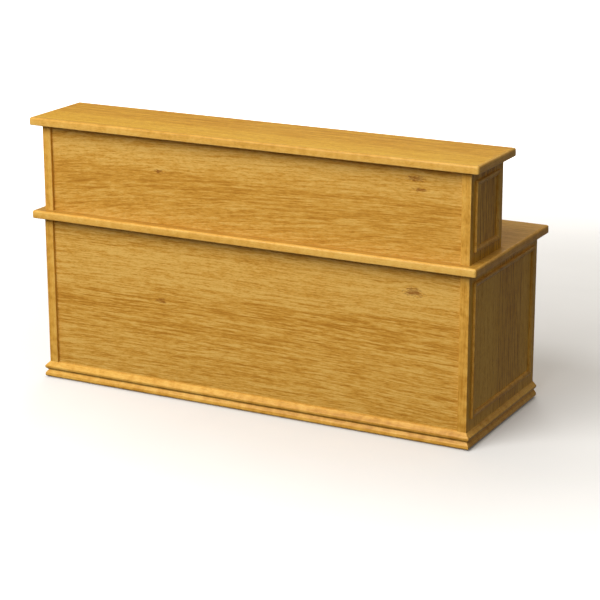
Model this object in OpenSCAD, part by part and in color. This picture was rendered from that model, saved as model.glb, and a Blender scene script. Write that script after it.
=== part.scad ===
// Two-tier reception counter, seen by the customer from -Y and used by staff from +Y.
// The lower carcass carries a full-depth worktop; a shallower upper tier carries the counter top.
// Origin: floor level, centre of the whole counter. +X runs to the right end, +Y to the staff side.

/* [Overall] */
// Width of both tops, end to end
counter_w = 2000; // [1400:10:2600]
// Depth of the worktop, customer edge to staff edge
counter_d = 760; // [640:5:900]
// Height of the worktop surface above the floor
worktop_h = 733; // [640:1:800]
// Height of the counter top surface above the floor
counter_h = 1126; // [1000:1:1300]

/* [Tops] */
// Thickness of a finished top at its edge
top_t = 33; // [26:1:45]
// Thickness of the veneered board of each top
top_board_t = 18; // [15:1:22]
// Width of the solid lipping around each top
lipping_w = 12; // [8:1:25]
// Radius on the long arrises of the lippings
arris_r = 6; // [2:0.5:10]
// Radius of the tops' corners in plan
corner_r = 6; // [2:0.5:12]
// Width of the build-up strips under each board
buildup_w = 70; // [50:5:100]
// Worktop overhang beyond the front of the body
over_front = 35; // [20:1:60]
// Overhang of both tops beyond the lower body at the ends
over_side = 40; // [20:1:60]
// Overhang of both tops on the staff side
over_rear = 25; // [10:1:50]

/* [Lower body] */
// Thickness of the built-up end panels
end_t = 38; // [30:1:50]
// Thickness of the solid lipping on the edges of the end panels
stile_t = 6; // [3:1:12]
// How far the front panels lie behind the stiles
front_recess = 13; // [6:1:25]
// Thickness of carcass boards
board_t = 18; // [15:1:22]
// Clear width of the cupboard and of the drawer stack
bay_w = 430; // [350:5:550]
// Height of the compartment floors' underside above the floor
floor_z = 67; // [55:1:120]
// Setback of the kickboards from the staff edge
kick_setback = 50; // [20:5:90]
// Height of the nail-on glides
glide_h = 5; // [3:1:10]
// Radius of the glides
glide_r = 12; // [8:1:16]

/* [Plinth moulding] */
// Height of the moulding where it meets the end panels
plinth_h = 67.5; // [60:0.5:110]
// How far the noses stand out from the body
plinth_proud = 16.5; // [10:0.5:30]
// Depth of the groove between the two noses
plinth_groove = 11; // [4:0.5:14]

/* [Upper tier] */
// Depth of the upper tier's body
tier_d = 313; // [240:1:400]
// How far the tier's ends stand in from the lower body's ends
tier_inset = 2.5; // [0:0.5:10]
// How far the tier's front stands behind the lower body's front
tier_setback = 3.5; // [0:0.5:10]
// Counter top overhang beyond the front of the tier
tier_over_front = 34; // [20:1:60]
// Number of pigeonhole columns
columns = 3; // [2:1:5]

/* [Frame mouldings] */
// Plain margin around each applied frame
frame_margin = 42; // [30:1:60]
// Width of the moulding
frame_w = 20; // [14:1:30]
// How far the moulding stands out from the panel
frame_proud = 9; // [6:0.5:14]
// Thickness of the moulding at its inner edge
frame_inner_t = 3; // [2:0.5:5]
// Margin between the plinth and the lower frame
frame_foot_margin = 46; // [30:1:70]

/* [Drawers] */
// Front height of the two upper drawers
shallow_h = 150; // [120:1:190]
// Thickness of drawer fronts and of the door
front_t = 18; // [15:1:22]
// Gap around drawer fronts and the door
gap = 3; // [2:0.5:4]
// Free room behind the drawer boxes and their runners
drawer_back_room = 101; // [40:1:250]
// Thickness of the sides of a drawer box
side_t = 12; // [10:1:16]
// Thickness of the drawer bottoms
bottom_t = 6; // [4:1:9]
// Depth of the groove that holds a drawer bottom
groove_d = 5; // [3:0.5:7]
// Width taken by a runner on each side of a drawer
runner_w = 12.7; // [12.5:0.1:13.5]
// Height of a runner
runner_h = 45; // [35:1:50]

/* [Handles and hinges] */
// Hole spacing of the bow handles
handle_span = 128; // [96:32:192]
// Radius of the handle bar
handle_r = 5; // [4:0.5:6]
// How far the handles stand out
handle_out = 22; // [18:1:24]
// Radius of the hinge pins
pin_r = 2.5; // [2:0.1:3]
// Radial running clearance of the hinge pins
pin_clearance = 0.05; // [0.02:0.01:0.1]
// Outer radius of the hinge knuckles
knuckle_r = 5; // [4:0.5:6]
// Height of a hinge
hinge_h = 63; // [50:1:80]

/* [Fittings] */
// Bore radius of the cable grommet
grommet_r = 30; // [20:1:40]
// Distance of the grommet from the counter's centre line
grommet_x = 300; // [0:10:600]
// Radius of the wooden dowels
dowel_r = 4; // [3:0.5:5]
// Length of the dowels
dowel_l = 30; // [20:1:40]
// Radius of the shelf pins
shelf_pin_r = 2.5; // [2:0.5:3]
// Height of the adjustable shelf's underside above the cupboard floor
shelf_up = 288; // [150:32:400]

/* [Hidden] */
$fn = 48;
hair = 0.1;
eps = 1;

body_d = counter_d - over_front - over_rear;
body_hw = counter_w / 2 - over_side;
front_y = -counter_d / 2 + over_front;
back_y = front_y + body_d;
worktop_z = worktop_h - top_t;
counter_z = counter_h - top_t;
inner_hw = body_hw - end_t;
panel_y = front_y + front_recess;

tier_hw = body_hw - tier_inset;
tier_y = front_y + tier_setback;
tier_back = tier_y + tier_d;
tier_in = tier_hw - end_t;
tier_panel_y = tier_y + front_recess;
tier_top_front = tier_y - tier_over_front;
tier_top_back = tier_back + over_rear;

// Bays: the cupboard lies at the left end and the drawers at the right end.
bay_floor_top = floor_z + board_t;
bay_front = panel_y + board_t;
upright_x = inner_hw - bay_w - board_t / 2;
bay_mid = inner_hw - bay_w / 2;
opening_low = bay_floor_top + gap;
opening_high = worktop_z - gap;
front_w = bay_w - 2 * gap;

// Drawers, numbered from the top.
deep_h = opening_high - opening_low - 2 * shallow_h - 2 * gap;
front_h = [shallow_h, shallow_h, deep_h];
front_z = [opening_high - shallow_h, opening_high - 2 * shallow_h - gap, opening_low];
box_clear = 20;
box_h = [for (h = front_h) h - 2 * box_clear];
box_z = [for (z = front_z) z + box_clear];
box_w = bay_w - 2 * runner_w;
box_back = back_y - front_t;
box_front = bay_front + drawer_back_room;
drawer_len = box_back - box_front;
runner_z = [for (z = box_z) z + 20];

// Runner sections: three nested steel channels, sized from the room beside the drawer.
steel_t = 1.2;
runner_play = 0.7;
mid_h = runner_h - 2 * (steel_t + runner_play);
inner_h = mid_h - 2 * (steel_t + runner_play);
channel_d = runner_w - steel_t - 2 * runner_play;

// Door hinges: both leaves lie in the gap beside the door.
hinge_x = -inner_hw + gap / 2;
hinge_y = back_y + knuckle_r + 0.5;
leaf_t = gap / 2 - 0.1;
leaf_d = 30;
hinge_z = [opening_low + 60, opening_high - 60 - hinge_h];
knuckle_h = hinge_h / 3;
knuckle_play = 0.3;

// Pigeonholes.
column_w = (2 * tier_in - (columns - 1) * board_t) / columns;
tier_mid = (worktop_h + counter_z) / 2;

// Outline of the plinth moulding, as distance out from the body against height.
nose_top = plinth_h - 16;
nose_low = plinth_h - 24.5;
groove_z = plinth_h - 34.5;
foot_top = plinth_h - 47;
foot_nose = plinth_h - 56;
front_rise = 1.5;

grommet_y = tier_back + 70;
grommet_wall = 1.6;
grommet_flange = 8;
grommet_flange_t = 2;

dowel_ys = [60, tier_d - 60];
shelf_pin_l = 16;
shelf_pin_in = 9;
shelf_pin_ys = [80, body_d - front_recess - board_t - front_t - 80];
shelf_hole_step = 64;
shelf_z = bay_floor_top + shelf_up;
shelf_depth = back_y - front_t - 20 - bay_front;

bracket_l = 30;
bracket_w = 20;
bracket_t = 2;
screw_r = 2;
screw_head_r = 4;
screw_head_h = 2;
screw_l = 12;
screw_in = bracket_l * 0.6;

oak = [0.83, 0.61, 0.27];
oak_dark = [0.72, 0.50, 0.20];
oak_pale = [0.88, 0.70, 0.38];
carcass = [0.80, 0.66, 0.42];
steel = [0.62, 0.63, 0.65];
black = [0.12, 0.12, 0.12];

// ---------- shared shapes ----------

// A box given by its two corners.
module block(low, high) {
    translate(low) cube(high - low);
}

// Mirrors a right-hand piece to both ends, or to one end with side = -1 or 1.
module to_side(side) {
    if (side > 0) children();
    else mirror([1, 0, 0]) children();
}

// A bar along +X from x = 0, whose section is drawn with +X outwards and +Y up.
// Outwards turns to -Y, and up turns to +Z.
module bar(length) {
    mirror([0, 1, 0]) rotate([90, 0, 0]) rotate([0, 90, 0]) linear_extrude(length) children();
}

// Section of a top's lipping: its outer side has two rounded arrises.
module lipping_section() {
    square([lipping_w - arris_r, top_t]);
    translate([0, arris_r]) square([lipping_w, top_t - 2 * arris_r]);
    for (z = [arris_r, top_t - arris_r]) translate([lipping_w - arris_r, z]) circle(arris_r);
}

// One mitred strip of a rectangular frame, lying along the edge y = 0 of a frame whose corners
// are at x = 0 and x = length. The child is a section that grows outwards from y = depth to 0.
module mitred_strip(length, depth, height) {
    intersection() {
        translate([0, depth, 0]) bar(length) children();
        linear_extrude(height)
            polygon([[hair, 0], [length - hair, 0], [length - depth - hair, depth], [depth + hair, depth]]);
    }
}

// Four mitred strips around a rectangle in plan, outer size given.
module mitred_frame(w, d, depth, height) {
    mitred_strip(w, depth, height) children();
    translate([w, d, 0]) rotate([0, 0, 180]) mitred_strip(w, depth, height) children();
    translate([w, 0, 0]) rotate([0, 0, 90]) mitred_strip(d, depth, height) children();
    translate([0, d, 0]) rotate([0, 0, -90]) mitred_strip(d, depth, height) children();
}

// A rectangle with rounded corners, from the origin.
module rounded_rectangle(w, d, r) {
    translate([r, 0]) square([w - 2 * r, d]);
    translate([0, r]) square([w, d - 2 * r]);
    for (x = [r, w - r], y = [r, d - r]) translate([x, y]) circle(r);
}

// Lipping around a top.
module lipping(w, y_low, y_high, z) {
    d = y_high - y_low;
    translate([-w / 2, y_low, z]) intersection() {
        mitred_frame(w, d, lipping_w, top_t) lipping_section();
        linear_extrude(top_t) rounded_rectangle(w, d, corner_r);
    }
}

// Build-up strips under a board: two long ones, and short ones between them.
module buildup(w, y_low, y_high, z, cross_xs) {
    hw = w / 2 - lipping_w;
    low = y_low + lipping_w;
    high = y_high - lipping_w;
    t = top_t - top_board_t;
    block([-hw, low, z], [hw, low + buildup_w, z + t]);
    block([-hw, high - buildup_w, z], [hw, high, z + t]);
    for (x = cross_xs)
        block([x - buildup_w / 2, low + buildup_w + hair, z],
              [x + buildup_w / 2, high - buildup_w - hair, z + t]);
}

// Places of the dowels at one end of the tier, on the centre line of its end panel.
module at_dowels() {
    for (s = [-1, 1], y = dowel_ys) translate([s * (tier_hw - end_t / 2), tier_y + y, 0]) children();
}

// Dowels or their holes through the joint at height z.
module dowel_rods(z, extra) {
    at_dowels() translate([0, 0, z - dowel_l / 2 - extra]) cylinder(r = dowel_r, h = dowel_l + 2 * extra);
}

// ---------- lower body ----------

// Profile of the plinth moulding; back is where it meets the body, negative when recessed.
module plinth_section(back, top) {
    polygon([[back, glide_h], [back, top],
             [plinth_proud, nose_top], [plinth_proud - 1, nose_low],
             [plinth_proud - plinth_groove, groove_z],
             [plinth_proud - 1.5, foot_top], [plinth_proud, foot_nose],
             [plinth_proud - 1, glide_h + 3], [plinth_proud - 4, glide_h]]);
}

// The front moulding's full body, before its mitres are cut.
module front_plinth_bar() {
    translate([-body_hw - plinth_proud, front_y, 0])
        bar(2 * (body_hw + plinth_proud)) plinth_section(-front_recess, plinth_h + front_rise);
}

module front_plinth() {
    reach = plinth_proud + eps;
    color(oak_pale) intersection() {
        front_plinth_bar();
        linear_extrude(worktop_z)
            polygon([[-body_hw - reach, front_y - reach], [body_hw + reach, front_y - reach],
                     [body_hw, front_y], [body_hw, panel_y],
                     [-body_hw, panel_y], [-body_hw, front_y]]);
    }
}

module side_plinth(side) {
    reach = plinth_proud + eps;
    color(oak_dark) to_side(side) intersection() {
        translate([body_hw, front_y - plinth_proud, 0])
            rotate([0, 0, 90]) bar(body_d + plinth_proud) plinth_section(0, plinth_h);
        linear_extrude(worktop_z)
            polygon([[body_hw, front_y + hair], [body_hw + reach, front_y - reach + hair],
                     [body_hw + reach, back_y], [body_hw, back_y]]);
    }
}

// An end panel of the lower body, notched where the front moulding runs across it.
module end_panel(side) {
    color(oak) difference() {
        to_side(side) block([inner_hw, front_y + stile_t, glide_h], [body_hw, back_y - stile_t, worktop_z]);
        front_plinth_bar();
        if (side < 0) shelf_pin_holes();
        dowel_rods(worktop_z, 1);
        at_brackets() bracket_screw_holes();
    }
}

module end_panel_stiles() {
    color(oak_pale) difference() {
        for (s = [-1, 1]) to_side(s) {
            block([inner_hw, front_y, glide_h], [body_hw, front_y + stile_t, worktop_z]);
            block([inner_hw, back_y - stile_t, glide_h], [body_hw, back_y, worktop_z]);
        }
        front_plinth_bar();
    }
}

module front_panel() {
    color(oak) block([-inner_hw, panel_y, glide_h], [inner_hw, bay_front, worktop_z]);
}

// The inner upright of a bay: side -1 is the cupboard, side 1 the drawers.
module upright(side) {
    color(carcass) difference() {
        to_side(side) block([upright_x - board_t / 2, bay_front, glide_h],
                            [upright_x + board_t / 2, back_y, worktop_z]);
        if (side < 0) shelf_pin_holes();
        at_brackets() bracket_screw_holes();
    }
}

module bay_floor(side) {
    color(carcass) to_side(side)
        block([inner_hw - bay_w, bay_front, floor_z], [inner_hw, back_y, bay_floor_top]);
}

module rear_kickboards() {
    y = back_y - kick_setback;
    color(oak_dark) for (s = [-1, 1]) to_side(s)
        block([inner_hw - bay_w, y - board_t, glide_h], [inner_hw, y, floor_z]);
}

module glides() {
    ys = [front_y + 60, back_y - 60];
    xs = [body_hw - end_t / 2, upright_x];
    color(black) for (s = [-1, 1], x = xs, y = ys)
        translate([s * x, y, 0]) cylinder(r = x == upright_x ? board_t / 2 : glide_r, h = glide_h);
}

// ---------- tops ----------

module worktop_board() {
    inset = lipping_w;
    color(oak) difference() {
        block([-counter_w / 2 + inset, -counter_d / 2 + inset, worktop_h - top_board_t],
              [counter_w / 2 - inset, counter_d / 2 - inset, worktop_h]);
        translate([grommet_x, grommet_y, worktop_z])
            cylinder(r = grommet_r + grommet_wall, h = top_t + eps);
        dowel_rods(worktop_h, 1);
    }
}

module worktop_buildup() {
    xs = [-inner_hw, -upright_x, 0, upright_x, inner_hw];
    color(carcass) difference() {
        buildup(counter_w, -counter_d / 2, counter_d / 2, worktop_z, xs);
        at_brackets() bracket_screw_holes();
        dowel_rods(worktop_z, 1);
        dowel_rods(worktop_h, 1);
    }
}

module worktop_lipping() {
    color(oak_pale) lipping(counter_w, -counter_d / 2, counter_d / 2, worktop_z);
}

module top_board() {
    color(oak) block([-counter_w / 2 + lipping_w, tier_top_front + lipping_w, counter_h - top_board_t],
                     [counter_w / 2 - lipping_w, tier_top_back - lipping_w, counter_h]);
}

module top_buildup() {
    step = column_w + board_t;
    dividers = [for (i = [1 : columns - 1]) -tier_in + i * step - board_t / 2];
    xs = concat([-tier_hw + end_t / 2], dividers, [tier_hw - end_t / 2]);
    color(carcass) difference() {
        buildup(counter_w, tier_top_front, tier_top_back, counter_z, xs);
        dowel_rods(counter_z, 1);
    }
}

module top_lipping() {
    color(oak_pale) lipping(counter_w, tier_top_front, tier_top_back, counter_z);
}

// ---------- upper tier ----------

module tier_end_panel(side) {
    color(oak) difference() {
        to_side(side) block([tier_in, tier_y + stile_t, worktop_h], [tier_hw, tier_back - stile_t, counter_z]);
        dowel_rods(worktop_h, 1);
        dowel_rods(counter_z, 1);
    }
}

module tier_stiles() {
    color(oak_pale) for (s = [-1, 1]) to_side(s) {
        block([tier_in, tier_y, worktop_h], [tier_hw, tier_y + stile_t, counter_z]);
        block([tier_in, tier_back - stile_t, worktop_h], [tier_hw, tier_back, counter_z]);
    }
}

module tier_front_panel() {
    color(oak) block([-tier_in, tier_panel_y, worktop_h], [tier_in, tier_panel_y + board_t, counter_z]);
}

module tier_dividers() {
    color(carcass) for (i = [1 : columns - 1]) {
        x = -tier_in + i * (column_w + board_t) - board_t;
        block([x, tier_panel_y + board_t, worktop_h], [x + board_t, tier_back, counter_z]);
    }
}

module tier_shelves() {
    color(carcass) for (i = [0 : columns - 1]) {
        x = -tier_in + i * (column_w + board_t);
        block([x, tier_panel_y + board_t, tier_mid - board_t / 2],
              [x + column_w, tier_back, tier_mid + board_t / 2]);
    }
}

// ---------- applied frame mouldings ----------

// Section of the moulding: a bead on the outer edge, falling to a thin inner edge.
module frame_section() {
    bead = frame_proud / 2;
    square([frame_proud, bead]);
    translate([bead, bead]) circle(bead);
    polygon([[bead, 0], [bead, frame_proud], [frame_w, frame_inner_t], [frame_w, 0]]);
}

// Four mitred strips on the outside of an end panel at x = face.
module applied_frame(side, face, y_low, y_high, z_low, z_high) {
    color(oak_pale) to_side(side) translate([face, y_low, z_low])
        rotate([90, 0, 90]) mitred_frame(y_high - y_low, z_high - z_low, frame_w, frame_proud)
            translate([frame_w, 0]) mirror([1, 0]) frame_section();
}

module lower_frame(side) {
    applied_frame(side, body_hw, front_y + frame_margin, back_y - frame_margin,
                  plinth_h + frame_foot_margin, worktop_z - frame_margin);
}

module tier_frame(side) {
    applied_frame(side, tier_hw, tier_y + frame_margin, tier_back - frame_margin,
                  worktop_h + frame_margin, counter_z - frame_margin);
}

// ---------- fittings ----------

module dowels() {
    color(oak_pale) for (z = [worktop_z, worktop_h, counter_z]) dowel_rods(z, 0);
}

module cable_grommet() {
    outer = grommet_r + grommet_wall;
    color(black) translate([grommet_x, grommet_y, worktop_h - top_board_t]) difference() {
        union() {
            cylinder(r = outer, h = top_board_t);
            translate([0, 0, top_board_t]) cylinder(r = outer + grommet_flange, h = grommet_flange_t);
        }
        translate([0, 0, -eps]) cylinder(r = grommet_r, h = top_board_t + grommet_flange_t + 2 * eps);
    }
}

// Rows of shelf pin holes on both sides of the cupboard.
module shelf_pin_holes() {
    for (y = shelf_pin_ys, n = [-1 : 1])
        translate([-bay_mid, bay_front + y, shelf_z - shelf_pin_r + n * shelf_hole_step])
            rotate([0, 90, 0]) cylinder(r = shelf_pin_r, h = bay_w + 2 * (shelf_pin_in + 1), center = true);
}

module shelf_pins() {
    color(steel) for (y = shelf_pin_ys, s = [-1, 1])
        translate([-bay_mid + s * (bay_w / 2 + shelf_pin_in), bay_front + y, shelf_z - shelf_pin_r])
            rotate([0, -s * 90, 0]) cylinder(r = shelf_pin_r, h = shelf_pin_l);
}

module adjustable_shelf() {
    side_gap = 1.5;
    color(carcass)
        block([-bay_mid - bay_w / 2 + side_gap, bay_front + 2, shelf_z],
              [-bay_mid + bay_w / 2 - side_gap, bay_front + shelf_depth, shelf_z + board_t]);
}

// Places of the angle brackets, on the inner faces of the bays, under the worktop.
module at_brackets() {
    ys = [bay_front + 40, back_y - front_t - 60];
    for (s = [-1, 1], y = ys) {
        translate([s * inner_hw, y, worktop_z]) rotate([0, 0, s > 0 ? 90 : -90]) children();
        translate([s * (upright_x - board_t / 2), y, worktop_z]) rotate([0, 0, s > 0 ? 90 : -90]) children();
    }
}

// An angle bracket in the corner under the worktop; local +Y points away from the panel.
module worktop_brackets() {
    color(steel) at_brackets() difference() {
        union() {
            block([-bracket_w / 2, 0, -bracket_l], [bracket_w / 2, bracket_t, 0]);
            block([-bracket_w / 2, 0, -bracket_t], [bracket_w / 2, bracket_l, 0]);
        }
        bracket_screw_holes();
    }
}

// Places of the two screws of a bracket, with local +Z along the screw and z = 0 under its head.
module at_screws() {
    translate([0, screw_in, -bracket_t]) children();
    translate([0, bracket_t, -screw_in]) rotate([90, 0, 0]) children();
}

module bracket_screw_holes() {
    at_screws() translate([0, 0, -eps]) cylinder(r = screw_r, h = screw_l + 2 * eps);
}

module bracket_screws() {
    color(steel) at_brackets() at_screws() {
        cylinder(r = screw_r, h = screw_l);
        translate([0, 0, -screw_head_h]) cylinder(r = screw_head_r, h = screw_head_h);
    }
}

// ---------- drawer runners ----------

// One steel channel of a runner, as a section in X from the wall and Z up: its web at web_x,
// and its two flanges reaching to flange_x.
module channel_section(web_x, flange_x, height) {
    low = (runner_h - height) / 2;
    left = min(web_x, flange_x);
    right = max(web_x + steel_t, flange_x);
    translate([web_x, low]) square([steel_t, height]);
    for (z = [low, low + height - steel_t]) translate([left, z]) square([right - left, steel_t]);
}

// A pair of channels for drawer n, on both walls of the bay.
module runner_pair(n) {
    color(steel) for (s = [-1, 1])
        translate([bay_mid, 0, 0]) to_side(s)
            translate([bay_w / 2, box_back, runner_z[n]])
                rotate([90, 0, 0]) linear_extrude(drawer_len) mirror([1, 0]) children();
}

module runner_outers() {
    for (n = [0 : 2]) runner_pair(n) channel_section(0, channel_d - runner_play, runner_h);
}

module runner_mids(n) {
    runner_pair(n) channel_section(steel_t + runner_play, channel_d, mid_h);
}

module runner_inners(n) {
    runner_pair(n) channel_section(runner_w - steel_t, 2 * (steel_t + runner_play), inner_h);
}

// ---------- drawers ----------

module drawer_front(n) {
    color(oak) block([bay_mid - front_w / 2, box_back, front_z[n]],
                     [bay_mid + front_w / 2, back_y, front_z[n] + front_h[n]]);
}

// The bottom board of drawer n, grown by play on its four edges.
module drawer_bottom_board(n, play) {
    reach = box_w / 2 - side_t + groove_d + play;
    up = 10;
    block([bay_mid - reach, box_front + side_t - groove_d - play, box_z[n] + up],
          [bay_mid + reach, box_back - side_t + groove_d + play, box_z[n] + up + bottom_t]);
}

// Four boards grooved for the bottom.
module drawer_box(n) {
    low = box_z[n];
    high = low + box_h[n];
    inside = box_w / 2 - side_t;
    color(carcass) difference() {
        union() {
            for (s = [-1, 1]) translate([bay_mid, 0, 0]) to_side(s)
                block([inside, box_front, low], [box_w / 2, box_back, high]);
            for (y = [box_front, box_back - side_t])
                block([bay_mid - inside + hair, y, low], [bay_mid + inside - hair, y + side_t, high]);
        }
        drawer_bottom_board(n, 0);
    }
}

module drawer_bottom(n) {
    color(carcass) drawer_bottom_board(n, -0.3);
}

// A bow handle on a face at y = 0 facing +Y, its bar along X.
module bow_handle() {
    post_r = handle_r * 0.8;
    bar_y = handle_out - handle_r;
    color(steel) {
        for (s = [-1, 1]) translate([s * handle_span / 2, 0, 0])
            rotate([-90, 0, 0]) cylinder(r = post_r, h = bar_y);
        translate([-handle_span / 2 - 2 * handle_r, bar_y, 0])
            rotate([0, 90, 0]) cylinder(r = handle_r, h = handle_span + 4 * handle_r);
    }
}

module drawer_handle(n) {
    translate([bay_mid, back_y, front_z[n] + front_h[n] - shallow_h / 2]) bow_handle();
}

// ---------- cupboard door ----------

module door() {
    color(oak) block([-bay_mid - front_w / 2, back_y - front_t, opening_low],
                     [-bay_mid + front_w / 2, back_y, opening_high]);
}

module door_handle() {
    stand_in = 40;
    translate([-bay_mid + front_w / 2 - stand_in, back_y, opening_high - 160])
        rotate([0, 90, 0]) bow_handle();
}

// Knuckles of one hinge from z = 0: those whose number is listed.
module knuckles(numbers, radius, play) {
    for (k = numbers)
        translate([hinge_x, hinge_y, k * knuckle_h + play])
            cylinder(r = radius, h = knuckle_h - 2 * play);
}

module hinge_leaf(x, own, others) {
    color(steel) for (z = hinge_z) translate([0, 0, z]) difference() {
        union() {
            difference() {
                block([x, back_y - leaf_d, 0], [x + leaf_t, hinge_y, hinge_h]);
                knuckles(others, knuckle_r + knuckle_play, -knuckle_play);
            }
            knuckles(own, knuckle_r, 0);
        }
        translate([hinge_x, hinge_y, -eps]) cylinder(r = pin_r + pin_clearance, h = hinge_h + 2 * eps);
    }
}

module hinge_fixed_leaves() {
    hinge_leaf(-inner_hw, [0, 2], [1]);
}

module hinge_moving_leaves() {
    difference() {
        hinge_leaf(hinge_x + (gap / 2 - leaf_t), [1], [0, 2]);
        for (z = hinge_z, k = [1, 2]) translate([hinge_x, hinge_y, z + k * knuckle_h - knuckle_play])
            cylinder(r = knuckle_r + knuckle_play, h = 2 * knuckle_play);
    }
}

module hinge_pins() {
    head_r = pin_r + 1;
    head_h = 1.5;
    color(steel) for (z = hinge_z) translate([hinge_x, hinge_y, z]) {
        cylinder(r = pin_r, h = hinge_h);
        for (h = [-head_h, hinge_h]) translate([0, 0, h]) cylinder(r = head_r, h = head_h);
    }
}

end_panel(-1);  // left_end_panel
end_panel(1);  // right_end_panel
end_panel_stiles();
front_panel();
front_plinth();
side_plinth(-1);  // left_plinth
side_plinth(1);  // right_plinth
upright(-1);  // cupboard_upright
upright(1);  // drawer_upright
bay_floor(-1);  // cupboard_floor
bay_floor(1);  // drawer_floor
rear_kickboards();
worktop_board();
worktop_buildup();
worktop_lipping();
tier_end_panel(-1);  // tier_left_end_panel
tier_end_panel(1);  // tier_right_end_panel
tier_stiles();
tier_front_panel();
tier_dividers();
tier_shelves();
top_board();
top_buildup();
top_lipping();
lower_frame(-1);  // lower_left_frame
lower_frame(1);  // lower_right_frame
tier_frame(-1);  // tier_left_frame
tier_frame(1);  // tier_right_frame
dowels();
cable_grommet();
glides();
adjustable_shelf();
shelf_pins();
worktop_brackets();
bracket_screws();
runner_outers();
runner_mids(0);  // drawer_1_runner_mids
runner_mids(1);  // drawer_2_runner_mids
runner_mids(2);  // drawer_3_runner_mids
runner_inners(0);  // drawer_1_runner_inners
runner_inners(1);  // drawer_2_runner_inners
runner_inners(2);  // drawer_3_runner_inners
drawer_front(0);  // drawer_1_front
drawer_front(1);  // drawer_2_front
drawer_front(2);  // drawer_3_front
drawer_box(0);  // drawer_1_box
drawer_box(1);  // drawer_2_box
drawer_box(2);  // drawer_3_box
drawer_bottom(0);  // drawer_1_bottom
drawer_bottom(1);  // drawer_2_bottom
drawer_bottom(2);  // drawer_3_bottom
drawer_handle(0);  // drawer_1_handle
drawer_handle(1);  // drawer_2_handle
drawer_handle(2);  // drawer_3_handle
door();
door_handle();
hinge_fixed_leaves();
hinge_moving_leaves();
hinge_pins();
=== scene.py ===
"""Looks of the two-tier reception counter: oak veneer, solid oak trim, plated fittings, studio."""

import math

import bmesh
import bpy
from mathutils import Matrix, Vector


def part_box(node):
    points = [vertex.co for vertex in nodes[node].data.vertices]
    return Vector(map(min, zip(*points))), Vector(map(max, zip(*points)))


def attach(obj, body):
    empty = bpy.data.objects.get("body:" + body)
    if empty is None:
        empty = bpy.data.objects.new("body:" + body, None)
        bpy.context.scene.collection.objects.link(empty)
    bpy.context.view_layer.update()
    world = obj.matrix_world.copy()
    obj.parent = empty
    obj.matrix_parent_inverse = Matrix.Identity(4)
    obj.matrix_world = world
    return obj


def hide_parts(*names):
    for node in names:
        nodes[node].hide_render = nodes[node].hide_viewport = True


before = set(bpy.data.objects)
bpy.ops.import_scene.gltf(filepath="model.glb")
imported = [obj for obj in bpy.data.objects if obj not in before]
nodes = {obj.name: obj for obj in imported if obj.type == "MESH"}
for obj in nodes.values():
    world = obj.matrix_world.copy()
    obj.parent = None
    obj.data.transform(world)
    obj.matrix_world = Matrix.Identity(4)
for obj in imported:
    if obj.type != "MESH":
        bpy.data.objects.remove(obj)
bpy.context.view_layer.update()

MM = 0.001
MERGE = 0.001 * MM
SAME_PLACE = 0.01 * MM
SHARP_ANGLE = math.radians(32)
EASED_ANGLE = math.radians(40)


# ---------- camera ----------

def aim(distance, azimuth, elevation, target):
    """A point at that distance from the target, azimuth 0 in front of the customer side."""
    flat = math.cos(math.radians(elevation))
    offset = (math.sin(math.radians(azimuth)) * flat, -math.cos(math.radians(azimuth)) * flat,
              math.sin(math.radians(elevation)))
    return Vector(target) + distance * Vector(offset)


def make_camera():
    """The camera of the studio view, at standing eye height off the drawer end's corner."""
    target = Vector((0.2257, -0.3150, 0.4936))
    data = bpy.data.cameras.new("studio_camera")
    data.lens = 121.2
    data.sensor_width = 36.0
    data.clip_end = 200.0
    camera = bpy.data.objects.new("studio_camera", data)
    camera.location = aim(7.986, 27.66, 16.59, target)
    look = (target - camera.location).to_track_quat("-Z", "Y").to_matrix().to_4x4()
    tilt = Matrix.Rotation(math.radians(-0.1), 4, "Z")
    camera.matrix_world = Matrix.Translation(camera.location) @ look @ tilt
    bpy.context.collection.objects.link(camera)
    bpy.context.scene.camera = camera


make_camera()


# ---------- node and colour helpers ----------

def linear(code):
    """An sRGB hex colour as the linear RGBA that a shader socket takes."""
    channels = [int(code[i:i + 2], 16) / 255 for i in (1, 3, 5)]
    return tuple(c / 12.92 if c <= 0.04045 else ((c + 0.055) / 1.055) ** 2.4 for c in channels) + (1.0,)


def add(tree, kind, inputs=None, **settings):
    """Adds a node with its settings; an input takes a value, a socket, or a node's first live output."""
    node = tree.nodes.new(kind)
    for name, value in settings.items():
        setattr(node, name, value)
    for key, value in (inputs or {}).items():
        if isinstance(value, bpy.types.Node):
            value = next(socket for socket in value.outputs if socket.enabled)
        if isinstance(value, bpy.types.NodeSocket):
            tree.links.new(value, node.inputs[key])
        else:
            node.inputs[key].default_value = value
    return node


def new_material(name):
    """An empty material and its node tree."""
    material = bpy.data.materials.new(name)
    material.use_nodes = True
    material.node_tree.nodes.clear()
    return material, material.node_tree


def surface(tree, inputs):
    """Ends a material with its surface shader."""
    shader = add(tree, "ShaderNodeBsdfPrincipled", inputs)
    add(tree, "ShaderNodeOutputMaterial", {"Surface": shader})


def set_stops(ramp, stops):
    """Gives a colour ramp its stops, as (position, linear colour)."""
    elements = ramp.color_ramp.elements
    elements.remove(elements[-1])
    elements[0].position, elements[0].color = stops[0]
    for position, colour in stops[1:]:
        elements.new(position).color = colour


def turned_grain(turn):
    """Object coordinates turned so that x runs along the grain and y across it; turn is in degrees."""
    def place_of(tree):
        coordinates = add(tree, "ShaderNodeTexCoord")
        return add(tree, "ShaderNodeMapping", {"Vector": coordinates.outputs["Object"],
                                               "Rotation": [math.radians(a) for a in turn]})
    return place_of


def own_grain(tree):
    """The place along, across and through the wood that a trim piece carries in its mesh."""
    return add(tree, "ShaderNodeAttribute", attribute_name="grain").outputs["Vector"]


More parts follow.
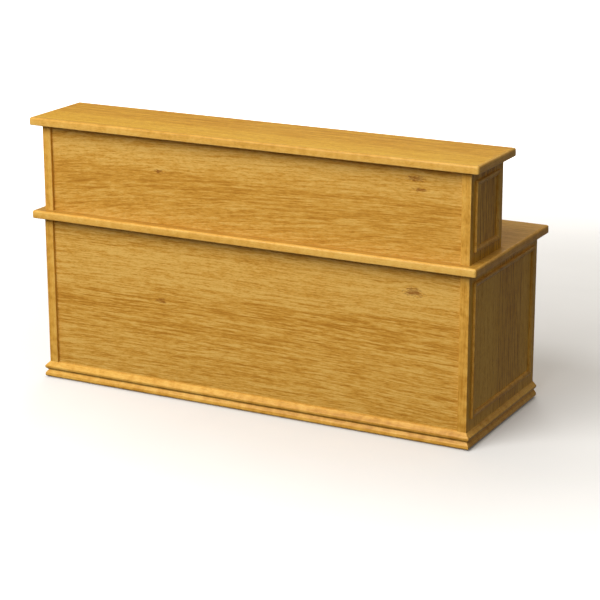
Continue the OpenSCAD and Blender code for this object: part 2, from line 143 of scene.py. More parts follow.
# Turns from the counter's axes to (along the grain, across it, through the board).
FLAT_ALONG_X = (0, 0, 0)
FACE_ALONG_X = (-90, 0, 0)
END_UPRIGHT = (0, 90, 0)
FACE_UPRIGHT = (-90, 0, -90)
FLAT_ALONG_Y = (0, 0, 90)


def grain_pattern(tree, place, along, across, reach=(0.34, 0.66), spread=(-0.5, 0.5), detail=2.0,
                  roughness=0.5):
    """Noise with features of those sizes in metres along and across the grain.

    The part of the noise within reach is spread over the second range, and clamped there.
    """
    drawn = add(tree, "ShaderNodeVectorMath", {0: place, 1: (1 / along, 1 / across, 1 / across)},
                operation="MULTIPLY")
    noise = add(tree, "ShaderNodeTexNoise",
                {"Vector": drawn, "Scale": 1.0, "Detail": detail, "Roughness": roughness})
    return add(tree, "ShaderNodeMapRange", {0: noise, 1: reach[0], 2: reach[1], 3: spread[0], 4: spread[1]})


# ---------- oak ----------

def knot_fields(tree, place, knots):
    """Darkness and sideways pull of the grain around knots.

    A knot is (along, across, length, width) in metres.
    """
    fray = grain_pattern(tree, place, 0.014, 0.005, (0.25, 0.75), (-0.7, 0.7))
    dark, pull = 0.0, 0.0
    for knot_along, knot_across, length, width in knots:
        offset = add(tree, "ShaderNodeVectorMath", {0: place, 1: (knot_along, knot_across, 0)},
                     operation="SUBTRACT")
        drawn = add(tree, "ShaderNodeVectorMath", {0: offset, 1: (1 / length, 1 / width, 0)},
                    operation="MULTIPLY")
        reach = add(tree, "ShaderNodeVectorMath", {0: drawn}, operation="LENGTH")
        frayed = add(tree, "ShaderNodeMath", {0: reach, 1: fray}, operation="ADD")
        core = add(tree, "ShaderNodeMapRange", {0: frayed, 1: 0.25, 2: 1.1, 3: 1.0, 4: 0.0},
                   interpolation_type="SMOOTHSTEP")
        near = add(tree, "ShaderNodeMapRange", {0: reach, 1: 0.5, 2: 3.5, 3: -0.5, 4: 0.0},
                   interpolation_type="SMOOTHSTEP")
        side = add(tree, "ShaderNodeSeparateXYZ", {0: offset}).outputs["Y"]
        dark = add(tree, "ShaderNodeMath", {0: core, 1: dark}, operation="MAXIMUM")
        pull = add(tree, "ShaderNodeMath", {0: side, 1: near, 2: pull}, operation="MULTIPLY_ADD")
    return dark, pull


def oak(name, place_of, tones, heart=(0.0, 0.6, 0.05), tide=(), lean=0.0, knots=(), gloss=0.34, seed=0.0,
        figure=1.0, cloudy=0.05, streak_length=0.17):
    """Lacquered oak; place_of(tree) gives the place in metres, x along the grain and y across it.

    tones: pale, body and dark wood colours. heart: where across and along the flame of the veneer
    has its tip, and how fast it widens. tide: (across, lightness) stops of the broad bands, and lean
    is how far they drift across for each metre along. figure and cloudy are how strongly the streaks
    and the soft mottling show.
    """
    material, tree = new_material(name)
    place = place_of(tree)
    axes = add(tree, "ShaderNodeSeparateXYZ", {0: place})
    moved = add(tree, "ShaderNodeVectorMath", {0: place, 1: (seed * 3.7, seed * 0.9, seed)}, operation="ADD")

    # The fibres sway slowly by about 6 mm, and part around knots.
    sway = grain_pattern(tree, moved, 0.9, 0.20, (0.3, 0.7), (-0.006, 0.006))
    swayed = add(tree, "ShaderNodeMath", {0: axes.outputs["Y"], 1: sway}, operation="ADD")
    if knots:
        dark_knot, pull = knot_fields(tree, place, knots)
        swayed = add(tree, "ShaderNodeMath", {0: swayed, 1: pull}, operation="ADD")

    # Growth rings cut by the veneer knife: distance from the heart, so that lines nest in flames near it.
    rise = add(tree, "ShaderNodeMath", {0: axes.outputs["X"], 1: heart[2], 2: -heart[1] * heart[2]},
               operation="MULTIPLY_ADD")
    beside = add(tree, "ShaderNodeMath", {0: swayed, 1: heart[0]}, operation="SUBTRACT")
    from_heart = add(tree, "ShaderNodeCombineXYZ", {"X": rise, "Y": beside})
    growth = add(tree, "ShaderNodeVectorMath", {0: from_heart}, operation="LENGTH")
    shifted = add(tree, "ShaderNodeSeparateXYZ", {0: moved})
    ring_place = add(tree, "ShaderNodeCombineXYZ",
                     {"X": shifted.outputs["X"], "Y": growth, "Z": axes.outputs["Z"]})

    # Rings 15 mm apart, streaks 6 mm wide, fibres 2.6 mm wide, flecks 14 by 3.5 mm, clouds 35 mm.
    ring = grain_pattern(tree, ring_place, 1.1, 0.015)
    streak = grain_pattern(tree, ring_place, streak_length, 0.006, detail=3.0, roughness=0.6)
    fibre = grain_pattern(tree, ring_place, 0.032, 0.0026, (0.35, 0.65))
    fleck = grain_pattern(tree, moved, 0.014, 0.0035, (0.45, 0.70), (0.0, 1.0), 1.0)
    cloud = grain_pattern(tree, moved, 0.030, 0.035, (0.3, 0.7))
    deep = grain_pattern(tree, ring_place, 2.2, 0.055, (0.35, 0.65), (0.0, 1.0), 1.0)
    # Open pores: dark dashes, 0.3 mm wide on the wood and drawn 1 mm wide so that they show.
    pore = grain_pattern(tree, ring_place, 0.012, 0.001, (0.60, 0.70), (0.0, 1.0), 1.0)

    if tide:
        drifted = add(tree, "ShaderNodeMath", {0: axes.outputs["X"], 1: -lean, 2: swayed},
                      operation="MULTIPLY_ADD")
        start, width = tide[0][0], tide[-1][0] - tide[0][0]
        level = add(tree, "ShaderNodeMapRange", {0: drifted, 1: start, 2: start + width})
        broad = add(tree, "ShaderNodeValToRGB", {0: level})
        set_stops(broad, [((across - start) / width, [0.85 * (1 - lightness)] * 3 + [1.0])
                          for across, lightness in tide])
        deep = add(tree, "ShaderNodeMath", {0: deep, 1: 0.15, 2: broad}, operation="MULTIPLY_ADD")

    # Deep bands carry streaks; pale bands carry flecks.
    streak_part = add(tree, "ShaderNodeMapRange", {0: deep, 3: 0.50 * figure, 4: 0.84 * figure})
    fleck_part = add(tree, "ShaderNodeMapRange", {0: deep, 3: 0.32, 4: 0.10})
    depth = add(tree, "ShaderNodeMapRange", {0: deep, 3: 0.10, 4: 0.62})
    for part, weight in ((streak, streak_part), (ring, 0.22 * figure), (fibre, 0.40 * figure),
                         (cloud, 2 * cloudy), (fleck, fleck_part)):
        depth = add(tree, "ShaderNodeMath", {0: part, 1: weight, 2: depth}, operation="MULTIPLY_ADD")

    colour = add(tree, "ShaderNodeValToRGB", {0: depth})
    set_stops(colour, [(0.04, linear(tones[0])), (0.48, linear(tones[1])), (0.96, linear(tones[2]))])
    if knots:
        grained = add(tree, "ShaderNodeMapRange", {0: fibre, 1: -0.5, 2: 0.5, 3: 0.45, 4: 0.85})
        stain = add(tree, "ShaderNodeMath", {0: dark_knot, 1: grained}, operation="MULTIPLY")
        colour = add(tree, "ShaderNodeMix", {0: stain, 6: colour, 7: linear("#83481A")}, data_type="RGBA")
    pore_part = add(tree, "ShaderNodeMath", {0: pore, 1: 0.30}, operation="MULTIPLY")
    colour = add(tree, "ShaderNodeMix", {0: pore_part, 6: colour, 7: linear("#8A5520")}, data_type="RGBA")

    raised = add(tree, "ShaderNodeMath", {0: fibre, 1: 0.15}, operation="MULTIPLY")
    relief = add(tree, "ShaderNodeMath", {0: pore, 1: -0.6, 2: raised}, operation="MULTIPLY_ADD")
    bump = add(tree, "ShaderNodeBump", {"Strength": 0.2, "Distance": 0.0004, "Height": relief})
    roughness = add(tree, "ShaderNodeMapRange",
                    {0: streak, 1: -0.5, 2: 0.5, 3: gloss - 0.04, 4: gloss + 0.08})
    surface(tree, {"Base Color": colour, "Roughness": roughness, "Normal": bump, "Specular IOR Level": 0.14,
                   "Coat Weight": 0.06, "Coat Roughness": 0.2})
    return material


TOPS = ("#F0BF42", "#DB9E26", "#C28216")
WORKTOP = ("#DEAE58", "#CC983C", "#AE7C2E")
GOLDEN = ("#E6B860", "#D39B3E", "#B67C28")
ENDS = ("#F2C252", "#DEA72E", "#B0781E")
TRIM = ("#EDBC5C", "#E0A848", "#C48A30")
EDGES = ("#EEBF62", "#E4AE50", "#CA9438")
BOARD = ("#E3C08A", "#D6AF73", "#BF9457")
BEECH = ("#E2C29A", "#D6B184", "#C39A6C")

tier_low, tier_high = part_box("tier_front_panel")
front_low, front_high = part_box("front_panel")

# Flat-cut veneer under satin lacquer: long streaks along the counter, a pale band above, reddish knots.
upper_front_oak = oak("oak_veneer_lacquered_upper_front", turned_grain(FACE_ALONG_X), GOLDEN,
                      heart=(0.55, 1.6, 0.12),
                      tide=((tier_low.z, 0.7), (0.765, 0.5), (0.785, 0.3), (0.825, 0.42), (0.87, 0.25),
                            (0.895, 0.12), (0.91, 0.3), (0.945, 0.15), (0.96, 0.65), (1.0, 0.9),
                            (1.04, 0.75), (tier_high.z, 0.55)),
                      knots=((0.726, 1.042, 0.044, 0.013), (0.745, 1.0, 0.040, 0.007),
                             (-0.405, 0.95, 0.026, 0.009)),
                      seed=1.0, figure=0.85, streak_length=0.12)
lower_front_oak = oak("oak_veneer_lacquered_lower_front", turned_grain(FACE_ALONG_X), GOLDEN,
                      heart=(-0.25, 0.2, 0.12),
                      tide=((front_low.z, 0.6), (0.13, 0.5), (0.17, 0.6), (0.27, 0.5), (0.335, 0.2),
                            (0.365, 0.4), (0.39, 0.15), (0.44, 0.3), (0.47, 0.85), (0.54, 1.0),
                            (0.62, 0.85), (front_high.z, 0.7)),
                      lean=0.05,
                      knots=((0.726, 0.597, 0.046, 0.021), (-0.405, 0.408, 0.026, 0.011)),
                      seed=2.0, figure=1.15, streak_length=0.13)
tops_oak = oak("oak_veneer_lacquered_tops", turned_grain(FLAT_ALONG_X), TOPS, heart=(0.9, 0.5, 0.12),
               tide=((-0.375, 1.0), (-0.23, 0.9), (-0.20, 0.35), (0.0, 0.2), (0.18, 0.55), (0.37, 0.4)),
               seed=3.0)
worktop_oak = oak("oak_veneer_lacquered_worktop", turned_grain(FLAT_ALONG_X), WORKTOP, heart=(0.9, 0.5, 0.12),
                  tide=((-0.375, 0.0), (-0.33, 0.0), (-0.30, 0.4), (0.0, 0.3), (0.18, 0.6), (0.37, 0.5)),
                  seed=3.5)
drawer_oak = oak("oak_veneer_lacquered_drawers", turned_grain(FACE_ALONG_X), GOLDEN,
                 heart=(0.30, 1.6, 0.09), seed=4.0)
# Upright veneer of the ends, calmer and slightly browner.
ends_oak = oak("oak_veneer_lacquered_ends", turned_grain(END_UPRIGHT), ENDS, heart=(0.50, 1.9, 0.12),
               tide=((-0.35, 0.6), (-0.17, 0.9), (-0.05, 0.75), (-0.04, 0.1), (0.19, 0.1), (0.20, 0.65),
                     (0.36, 0.6)),
               seed=5.0)
tier_ends_oak = oak("oak_veneer_lacquered_tier_ends", turned_grain(END_UPRIGHT), ENDS,
                    heart=(0.30, 1.9, 0.12),
                    tide=((-0.35, 0.4), (-0.262, 0.3), (-0.252, 0.0), (-0.11, 0.0), (-0.10, 0.1),
                          (-0.02, 0.2)),
                    seed=5.5)
door_oak = oak("oak_veneer_lacquered_door", turned_grain(FACE_UPRIGHT), GOLDEN,
               heart=(0.68, 1.4, 0.08), seed=6.0, figure=0.8)
# Solid oak trim: straight, nearly plain, a little paler and glossier than the veneer.
trim_oak = oak("solid_oak_lacquered", own_grain, TRIM, heart=(0.6, 0.0, 0.02), gloss=0.28,
               seed=7.0, figure=0.5, cloudy=0.28)
# The lippings of both tops are picked from the palest wood.
edge_oak = oak("solid_oak_lacquered_pale", own_grain, EDGES, heart=(0.6, 0.0, 0.02), gloss=0.26,
               seed=7.5, figure=0.35, cloudy=0.22)
# Board for the inside: pale matt foil with a quiet oak figure.
board_along = oak("oak_decor_board_along", turned_grain(FACE_ALONG_X), BOARD, heart=(0.2, 1.5, 0.04),
                  gloss=0.5, seed=8.0, figure=0.7)
board_upright = oak("oak_decor_board_upright", turned_grain(END_UPRIGHT), BOARD, heart=(0.1, 1.5, 0.04),
                    gloss=0.5, seed=9.0, figure=0.7)
board_flat = oak("oak_decor_board_flat", turned_grain(FLAT_ALONG_X), BOARD, heart=(0.1, 1.5, 0.04),
                 gloss=0.5, seed=10.0, figure=0.7)
dowel_beech = oak("beech_raw", turned_grain(END_UPRIGHT), BEECH, gloss=0.6, seed=11.0, figure=0.4)


# ---------- metal and plastic ----------

def metal(name, shades, gloss, line_gap, line_length, turn, marks):
    """Bare or plated steel with drawn lines; gap and length in metres, marks is how deep they look."""
    material, tree = new_material(name)
    place = turned_grain(turn)(tree)
    line = grain_pattern(tree, place, line_length, line_gap, (0.3, 0.7))
    cloud = grain_pattern(tree, place, 0.03, 0.02, (0.3, 0.7), (0.0, 1.0))
    colour = add(tree, "ShaderNodeMix", {0: cloud, 6: linear(shades[0]), 7: linear(shades[1])},
                 data_type="RGBA")
    roughness = add(tree, "ShaderNodeMapRange", {0: line, 1: -0.5, 2: 0.5, 3: gloss - 0.06, 4: gloss + 0.08})
    bump = add(tree, "ShaderNodeBump", {"Strength": marks, "Distance": 0.00008, "Height": line})
    surface(tree, {"Base Color": colour, "Roughness": roughness, "Normal": bump, "Metallic": 1.0})
    return material


# Satin nickel on steel: warm grey, brushed lines along the bar, drawn 1 mm apart so that they show.
handle_nickel = metal("satin_nickel_plated_steel", ("#C4C0B7", "#B3AFA6"), 0.34, 0.001, 0.06,
                      FLAT_ALONG_X, 0.12)
# Bright zinc: bluish, slightly cloudy.
fitting_zinc = metal("bright_zinc_plated_steel", ("#B4B8BD", "#9DA2A8"), 0.34, 0.002, 0.008,
                     END_UPRIGHT, 0.10)
# Cold-rolled runner strip: duller, with rolling lines along the runner.
runner_zinc = metal("cold_rolled_zinc_plated_strip", ("#A5A8AB", "#8E9296"), 0.38, 0.0012, 0.06,
                    FLAT_ALONG_Y, 0.12)


def moulded_plastic():
    """Black ABS: an even fine grain from the mould, drawn 1.5 mm coarse, with paler rubbed patches."""
    material, tree = new_material("moulded_black_abs")
    place = turned_grain(FLAT_ALONG_X)(tree)
    grain = grain_pattern(tree, place, 0.0015, 0.0015, (0.3, 0.7))
    rub = grain_pattern(tree, place, 0.012, 0.012, (0.45, 0.70), (0.0, 1.0), 3.0)
    colour = add(tree, "ShaderNodeMix", {0: rub, 6: linear("#1D1D1E"), 7: linear("#2A2A2B")},
                 data_type="RGBA")
    roughness = add(tree, "ShaderNodeMapRange", {0: rub, 3: 0.50, 4: 0.40})
    bump = add(tree, "ShaderNodeBump", {"Strength": 0.25, "Distance": 0.00012, "Height": grain})
    surface(tree, {"Base Color": colour, "Roughness": roughness, "Normal": bump})
    return material


black_abs = moulded_plastic()


# ---------- making pieces ----------

def ease(shape, edges, radius, segments):
    """Rounds edges."""
    bmesh.ops.bevel(shape, geom=edges, offset=radius, offset_type="OFFSET", segments=segments, profile=0.5,
                    affect="EDGES", material=-1, clamp_overlap=False)


def lay_grain(shape, run_of):
    """Stores each face corner's place in the wood; run_of(middle) gives along, across and a shift."""
    layer = shape.loops.layers.float_vector.new("grain")
    for face in shape.faces:
        along, across, shift = run_of(face.calc_center_median())
        through = along.cross(across)
        for corner in face.loops:
            point = corner.vert.co
            corner[layer] = (point.dot(along) + shift, point.dot(across), point.dot(through) + shift)


def finish_piece(name, shape, body, material, stands_for):
    """Turns a shape into a closed, smooth-shaded piece that rides on its body."""
    bmesh.ops.remove_doubles(shape, verts=shape.verts, dist=MERGE)
    bmesh.ops.recalc_face_normals(shape, faces=shape.faces)
    mesh = bpy.data.meshes.new(name)
    shape.to_mesh(mesh)
    shape.free()
    mesh.shade_smooth()
    mesh.set_sharp_from_angle(angle=SHARP_ANGLE)
    mesh.materials.append(material)
    piece = bpy.data.objects.new(name, mesh)
    bpy.context.collection.objects.link(piece)
    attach(piece, body)
    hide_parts(stands_for)


def block(low, high):
    """A box between two corners, as a bmesh."""
    shape = bmesh.new()
    bmesh.ops.create_cube(shape, size=1.0)
    bmesh.ops.scale(shape, vec=high - low, verts=shape.verts)
    bmesh.ops.translate(shape, vec=(low + high) / 2, verts=shape.verts)
    return shape


def cut(shape, point, normal, faces=None):
    """Cuts faces, or the whole shape, with a plane and keeps both sides."""
    chosen = faces or shape.faces
    geom = set(chosen) | {e for f in chosen for e in f.edges} | {v for f in chosen for v in f.verts}
    bmesh.ops.bisect_plane(shape, geom=list(geom), dist=1e-7, plane_co=point, plane_no=normal)


# ---------- lippings of the tops ----------

LIPPING = 12 * MM
ARRIS = 9 * MM
LOWER_ARRIS = 4 * MM
X, Y, Z = Vector((1, 0, 0)), Vector((0, 1, 0)), Vector((0, 0, 1))


def top_lipping(node):
    """Solid lipping around a top: rounded corners and arrises, mitred at the corners."""
    low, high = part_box(node)
    shape = block(low, high)
    uprights = [e for e in shape.edges if abs(e.verts[0].co.z - e.verts[1].co.z) > MM]
    ease(shape, uprights, 1.05 * ARRIS, 7)
    for height, radius in ((high.z, ARRIS), (low.z, LOWER_ARRIS)):
        rim = [e for e in shape.edges if all(abs(v.co.z - height) < SAME_PLACE for v in e.verts)]
        ease(shape, rim, radius, 5)

    inner_low, inner_high = low + Vector((LIPPING, LIPPING, 0)), high - Vector((LIPPING, LIPPING, 0))
    for corner in (inner_low, inner_high):
        cut(shape, corner, X)
        cut(shape, corner, Y)

    def inside(point, slack=0.0):
        return (inner_low.x - slack < point.x < inner_high.x + slack
                and inner_low.y - slack < point.y < inner_high.y + slack)
    bmesh.ops.delete(shape, geom=[f for f in shape.faces if inside(f.calc_center_median())], context="FACES")
    bmesh.ops.bridge_loops(shape, edges=[e for e in shape.edges if e.is_boundary])

    # A 45 degree cut through each corner, so that no face crosses a mitre.
    for x, inner_x in ((low.x, inner_low.x), (high.x, inner_high.x)):
        for y, inner_y in ((low.y, inner_low.y), (high.y, inner_high.y)):
            near = [f for f in shape.faces if abs(f.calc_center_median().x - x) < LIPPING
                    and abs(f.calc_center_median().y - y) < LIPPING]
            cut(shape, (x, y, 0), Vector((inner_y - y, x - inner_x, 0)), near)

    middle, half = (low + high) / 2, (high - low) / 2

    def run_of(point):
        side = half.x - abs(point.x - middle.x) < half.y - abs(point.y - middle.y)
        end = 1 if (point.x if side else point.y) > 0 else 0
        return (Y, X, 1.7 + 3.1 * end) if side else (X, Y, 0.4 + 2.3 * end)
    lay_grain(shape, run_of)
    finish_piece(node + "_oak", shape, "counter", edge_oak, node)


# ---------- mouldings ----------

def moulding(section, length, near_mitre, far_mitre, shift):
    """A length of moulding from x = 0, with its section given as (out, up, corner radius) in millimetres.

    A mitre is how far the end slants along for each millimetre out and up.
    """
    shape = bmesh.new()
    near = [shape.verts.new((0, out * MM, up * MM)) for out, up, _ in section]
    grown = bmesh.ops.extrude_face_region(shape, geom=[shape.faces.new(near)])
    far = [v for v in grown["geom"] if isinstance(v, bmesh.types.BMVert)]
    bmesh.ops.translate(shape, verts=far, vec=(length, 0, 0))
    radii = {}
    for vert, (_, _, radius) in zip(near, section):
        if radius:
            edge = next(e for e in vert.link_edges if abs(e.other_vert(vert).co.x - vert.co.x) > length / 2)
            radii.setdefault(radius, []).append(edge)
    for radius, edges in radii.items():
        ease(shape, edges, radius * MM, 5)
    for vert in shape.verts:
        at_far = vert.co.x > length / 2
        mitre = far_mitre if at_far else near_mitre
        vert.co.x += mitre[0] * vert.co.y + mitre[1] * vert.co.z
    lay_grain(shape, lambda point: (X, Y, shift))
    return shape


def placed(shape, origin, along, out, up):
    """Moves a moulding from its own axes to its place."""
    matrix = Matrix((along, out, up)).transposed().to_4x4()
    matrix.translation = origin
    bmesh.ops.transform(shape, matrix=matrix, verts=shape.verts)
    return shape


def joined(shapes):
    """Several shapes as one."""
    whole = bmesh.new()
    for shape in shapes:
        mesh = bpy.data.meshes.new("run")
        shape.to_mesh(mesh)
        shape.free()
        whole.from_mesh(mesh)
        bpy.data.meshes.remove(mesh)
    return whole


def plinth_section(back, top):
    """Plinth section above the glides, in millimetres: upper nose, deep cove, lower nose."""
    return [(back, 5, 0), (back, top, 0), (0, top, 0) if back < 0 else (0.4, top, 0), (16.5, 51.5, 1.2),
            (15.5, 43, 1.2), (5.5, 33, 2.5), (15, 20.5, 1.5), (16.5, 11.5, 1.5), (15.5, 8, 0.8),
            (12.5, 5, 0.6)]


def plinths():
    """The moulding along the foot of the front and both ends, mitred at the front corners."""
    body_low, body_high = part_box("end_panel_stiles")
    width = body_high.x - body_low.x
    depth = body_high.y - body_low.y
    recess = (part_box("front_panel")[0].y - body_low.y) / MM
    front = moulding(plinth_section(-recess, 69), width, (-1, 0), (1, 0), 0.0)
    front = placed(front, (body_low.x, body_low.y, 0), X, -Y, Z)
    bmesh.ops.bisect_plane(front, geom=front.faces[:] + front.edges[:] + front.verts[:], dist=1e-7,
                           plane_co=(body_low.x, 0, 0), plane_no=X)
    finish_piece("front_plinth_oak", front, "counter", trim_oak, "front_plinth")
    for name, side in (("left_plinth", -1), ("right_plinth", 1)):
        run = moulding(plinth_section(0, 67.5), depth, (-1, 0), (0, 0), 2.0 + side)
        run = placed(run, (side * body_high.x, body_low.y, 0), Y, side * X, Z)
        finish_piece(name + "_oak", run, "counter", trim_oak, name)


# Section of the applied frames: a round bead outside, then a slope down to a thin inner edge.
FRAME_SECTION = [(0, 0, 0), (9, 0, 4.4), (9, 9, 4.4), (3, 20, 0.6), (0, 20, 0)]


def applied_frame(node, side):
    """A mitred frame of moulding on an end panel."""
    low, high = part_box(node)
    face = low.x if side > 0 else high.x
    shapes = []
    sides = (((low.y, low.z), Y, Z, high.y - low.y), ((high.y, low.z), Z, -Y, high.z - low.z),
             ((high.y, high.z), -Y, -Z, high.y - low.y), ((low.y, high.z), -Z, Y, high.z - low.z))
    for number, ((y, z), along, inward, length) in enumerate(sides):
        run = moulding(FRAME_SECTION, length, (0, 1), (0, -1), 1.3 * number + side)
        # The mitre faces go, so that the four runs close into one ring.
        bmesh.ops.delete(run, geom=[f for f in run.faces if len(f.verts) > 4], context="FACES_ONLY")
        shapes.append(placed(run, (face, y, z), along, side * X, inward))
    finish_piece(node + "_oak", joined(shapes), "counter", trim_oak, node)


def stiles(node):
    """Solid lippings on the upright edges of the end panels, with eased edges."""
    low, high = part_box(node)
    lower = node == "end_panel_stiles"
    panel_low, panel_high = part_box("right_end_panel" if lower else "tier_right_end_panel")
    shapes = []
    for side in (-1, 1):
        for y_low, y_high, foot in ((low.y, panel_low.y, True), (panel_high.y, high.y, False)):
            z_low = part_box("front_plinth")[1].z if foot and lower else low.z
            ends = sorted((side * panel_low.x, side * panel_high.x))
            shape = block(Vector((ends[0], y_low, z_low)), Vector((ends[1], y_high, high.z)))
            outer_y = low.y if foot else high.y
            outer = [e for e in shape.edges if all(abs(v.co.y - outer_y) < SAME_PLACE for v in e.verts)
                     and abs(e.verts[0].co.z - e.verts[1].co.z) > MM]
            ease(shape, outer, 1.5 * MM, 3)
            shift = 0.9 * side + (0.37 if foot else 0.0)
            lay_grain(shape, lambda point, shift=shift: (Z, X, shift))
            shapes.append(shape)
    finish_piece(node + "_oak", joined(shapes), "counter", trim_oak, node)


# ---------- fittings ----------

def turned(profile, axis, origin, steps):
    """A closed shape turned from a profile given as (radius, distance along the axis) in millimetres."""
    shape = bmesh.new()
    side = Y if axis == X else X
    verts = [shape.verts.new(side * radius * MM + axis * along * MM) for radius, along in profile]
    edges = [shape.edges.new(pair) for pair in zip(verts, verts[1:])]
    bmesh.ops.spin(shape, geom=verts + edges, cent=(0, 0, 0), axis=axis, angle=math.tau, steps=steps,
                   use_merge=True)
    bmesh.ops.translate(shape, vec=origin, verts=shape.verts)
    bmesh.ops.remove_doubles(shape, verts=shape.verts, dist=MERGE)
    return shape


def bow_handle(node, body, axis):
    """A straight bar handle on two posts with flared feet."""
    low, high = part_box(node)
    middle = (low + high) / 2
    reach = (high - low).dot(axis) / MM / 2
    radius = 5
    bar_origin = Vector((middle.x, high.y - radius * MM, middle.z))
    bar = turned([(0, -reach), (radius - 0.9, -reach), (radius - 0.25, -reach + 0.25), (radius, -reach + 0.9),
                  (radius, reach - 0.9), (radius - 0.25, reach - 0.25), (radius - 0.9, reach), (0, reach)],
                 axis, bar_origin, 32)
    shapes = [bar]
    post = [(0, 0), (4.9, 0), (4.9, 1.4), (4.6, 1.8), (4.0, 2.4), (4.0, 14), (4.3, 17), (0, 17)]
    for side in (-1, 1):
        foot = Vector((middle.x, low.y, middle.z)) + axis * side * (reach - 10) * MM
        shapes.append(turned(post, Y, foot, 28))
    finish_piece(node + "_nickel", joined(shapes), body, handle_nickel, node)


def grommet():
    """The cable port's liner: a sleeve with a rounded flange."""
    low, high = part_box("cable_grommet")
    middle = (low + high) / 2
    depth = (high.z - low.z) / MM
    profile = [(30, 0.4), (30.4, 0), (31.2, 0), (31.6, 0.4), (31.6, depth - 2), (39.0, depth - 2),
               (39.6, depth - 1.5), (39.3, depth - 0.7), (38.0, depth - 0.1), (36.0, depth),
               (31.8, depth), (30.7, depth - 0.3), (30.0, depth - 1.2), (30, 0.4)]
    shape = turned(profile, Z, Vector((middle.x, middle.y, low.z)), 72)
    finish_piece("cable_grommet_abs", shape, "counter", black_abs, "cable_grommet")


for top in ("worktop_lipping", "top_lipping"):
    top_lipping(top)
plinths()
for frame_node, side in (("lower_left_frame", -1), ("lower_right_frame", 1), ("tier_left_frame", -1),
                         ("tier_right_frame", 1)):
    applied_frame(frame_node, side)
stiles("end_panel_stiles")
stiles("tier_stiles")
for number in (1, 2, 3):
    bow_handle(f"drawer_{number}_handle", f"drawer_{number}", X)
bow_handle("door_handle", "cupboard_door", Z)
grommet()


# ---------- boards and fittings that keep their own shape ----------

def finish_board(node, material, ease_width):
    """Gives a CAD board its finish and slightly eased edges."""
    board = nodes[node]
    board.data.materials.clear()
    board.data.materials.append(material)
    weld = board.modifiers.new("weld", "WELD")
    weld.merge_threshold = SAME_PLACE
    bevel = board.modifiers.new("eased_edges", "BEVEL")
    bevel.width = ease_width
    bevel.segments = 2
    bevel.limit_method = "ANGLE"
    bevel.angle_limit = EASED_ANGLE


FINISHES = (
    (upper_front_oak, 0.3, ["tier_front_panel"]),
    (lower_front_oak, 0.3, ["front_panel"]),
    (tops_oak, 0.3, ["top_board"]),
    (worktop_oak, 0.3, ["worktop_board"]),
    (drawer_oak, 0.8, ["drawer_1_front", "drawer_2_front", "drawer_3_front"]),
    (door_oak, 0.8, ["door"]),
    (ends_oak, 0.3, ["left_end_panel", "right_end_panel"]),
    (tier_ends_oak, 0.3, ["tier_left_end_panel", "tier_right_end_panel"]),
    (board_along, 0.4, ["rear_kickboards", "drawer_1_box", "drawer_2_box", "drawer_3_box"]),
    (board_upright, 0.4, ["cupboard_upright", "drawer_upright", "tier_dividers"]),
    (board_flat, 0.4, ["cupboard_floor", "drawer_floor", "tier_shelves", "adjustable_shelf",
                       "worktop_buildup", "top_buildup", "drawer_1_bottom", "drawer_2_bottom",
                       "drawer_3_bottom"]),
    (dowel_beech, 0.4, ["dowels"]),
    (fitting_zinc, 0.25, ["shelf_pins", "worktop_brackets", "bracket_screws", "hinge_fixed_leaves",
                          "hinge_moving_leaves", "hinge_pins"]),
    (runner_zinc, 0.2, ["runner_outers"] + [f"drawer_{n}_runner_{kind}" for n in (1, 2, 3)
                                            for kind in ("mids", "inners")]),
    (black_abs, 0.6, ["glides"]),
)
for material, width, boards in FINISHES:
    for board in boards:
        finish_board(board, material, width * MM)


# ---------- studio ----------

LIGHT_TARGET = Vector((0.0, -0.2, 0.6))
FLOOR_REACH = 40.0
SURROUND_RADIUS = 38.0


def stage_object(name, shape, material, hidden_from):
    """A studio object that isn't part of the counter, hidden from the named kinds of ray."""
    mesh = bpy.data.meshes.new(name)
    shape.to_mesh(mesh)
    shape.free()
    mesh.materials.append(material)
    thing = bpy.data.objects.new(name, mesh)
    for ray in hidden_from:
        setattr(thing, "visible_" + ray, False)
    bpy.context.collection.objects.link(thing)


def disk_light(name, size, energy, distance, direction):
    """A round soft light at that distance from the counter's middle, turned to it."""
    data = bpy.data.lights.new(name, "AREA")
    data.shape = "DISK"
    data.size = size
    data.energy = energy
    light = bpy.data.objects.new(name, data)
    light.location = LIGHT_TARGET + distance * Vector(direction).normalized()
    light.rotation_euler = (LIGHT_TARGET - light.location).to_track_quat("-Z", "Y").to_euler()
    bpy.context.collection.objects.link(light)
    return light


def floor_glow_and_painted_shade(tree, place):
    """The floor's glow, full far away; weak near the counter and none under it, which is painted shade around
    and under the counter.
    """
    away = add(tree, "ShaderNodeVectorMath", {0: place, 1: (0.5, 1.2, 0.0)}, operation="DISTANCE")
    glow = add(tree, "ShaderNodeMapRange", {0: away, 1: 1.1, 2: 5.2, 3: 0.11, 4: 1.0},
               interpolation_type="SMOOTHSTEP")
    # Painted shade: under the counter the glow is cut off, so the floor there reads as a dark gap.
    plinth_low, plinth_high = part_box("front_plinth")
    folded = add(tree, "ShaderNodeVectorMath", {0: place}, operation="ABSOLUTE")
    beyond = add(tree, "ShaderNodeVectorMath", {0: folded, 1: (plinth_high.x, -plinth_low.y, 0)},
                 operation="SUBTRACT")
    sides = add(tree, "ShaderNodeSeparateXYZ", {0: beyond})
    outside = add(tree, "ShaderNodeMath", {0: sides.outputs["X"], 1: sides.outputs["Y"]}, operation="MAXIMUM")
    clear = add(tree, "ShaderNodeMapRange", {0: outside, 1: -0.015, 2: 0.015})
    return add(tree, "ShaderNodeMath", {0: glow, 1: clear}, operation="MULTIPLY")


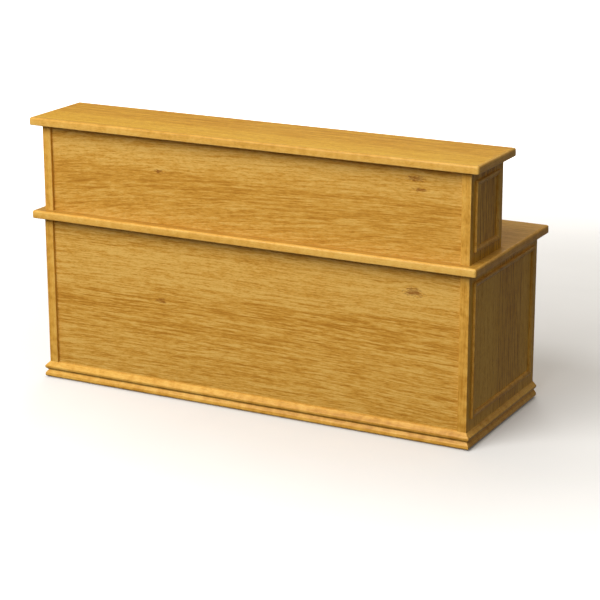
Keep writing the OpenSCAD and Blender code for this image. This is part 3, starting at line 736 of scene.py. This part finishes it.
def studio_floor():
    """The pale floor. It gives the counter no light of its own."""
    paint, tree = new_material("white_studio_floor")
    place = turned_grain(FLAT_ALONG_X)(tree)
    speck = grain_pattern(tree, place, 0.4, 0.4, (0.0, 1.0), (0.0, 1.0))
    shade = add(tree, "ShaderNodeMix", {0: speck, 6: linear("#E6E5E3"), 7: linear("#ECEBE9")},
                data_type="RGBA")
    # Painted shade: the floor glows less near the counter and not at all under it.
    glow = floor_glow_and_painted_shade(tree, place)
    surface(tree, {"Base Color": shade, "Roughness": 0.8, "Specular IOR Level": 0.1,
                   "Emission Color": linear("#FFFFFF"), "Emission Strength": glow})
    shape = bmesh.new()
    bmesh.ops.create_grid(shape, x_segments=1, y_segments=1, size=FLOOR_REACH)
    stage_object("studio_floor", shape, paint, ("diffuse", "glossy"))


def floor_cloth():
    """Black cloth under the floor, so that the room's light comes only from above."""
    cloth, tree = new_material("black_cloth")
    surface(tree, {"Base Color": linear("#000000"), "Roughness": 1.0, "Specular IOR Level": 0.0})
    shape = bmesh.new()
    bmesh.ops.create_grid(shape, x_segments=1, y_segments=1, size=FLOOR_REACH)
    bmesh.ops.translate(shape, vec=(0, 0, -50 * MM), verts=shape.verts)
    stage_object("floor_cloth", shape, cloth, ("camera", "glossy"))


def surround():
    """A white glowing room, seen only behind the counter."""
    white, tree = new_material("white_studio_surround")
    surface(tree, {"Base Color": linear("#000000"), "Emission Color": linear("#FFFFFF"),
                   "Emission Strength": 1.0})
    shape = bmesh.new()
    bmesh.ops.create_uvsphere(shape, u_segments=48, v_segments=24, radius=SURROUND_RADIUS)
    bmesh.ops.reverse_faces(shape, faces=shape.faces)
    stage_object("studio_surround", shape, white, ("diffuse", "glossy", "shadow"))


def room_light():
    """Warm even light from the whole room."""
    world = bpy.data.worlds.new("studio_world")
    world.use_nodes = True
    sky = world.node_tree.nodes["Background"]
    sky.inputs["Color"].default_value = linear("#FFF2DC")
    sky.inputs["Strength"].default_value = 0.27
    bpy.context.scene.world = world
    bpy.context.scene.view_settings.view_transform = "Standard"


studio_floor()
floor_cloth()
surround()
# A very large soft light in front, and a weak fill behind that leaves no mirror image.
disk_light("soft_key", 8.4, 930.0, 9.0, (-0.16, -0.74, 0.64))
disk_light("rear_fill", 5.0, 200.0, 7.0, (-0.25, 0.90, 0.40)).visible_glossy = False
room_light()
# The ledge and the plinth slope throw no coloured light back on the panels above them.
nodes["worktop_board"].visible_diffuse = False
bpy.data.objects["front_plinth_oak"].visible_diffuse = False
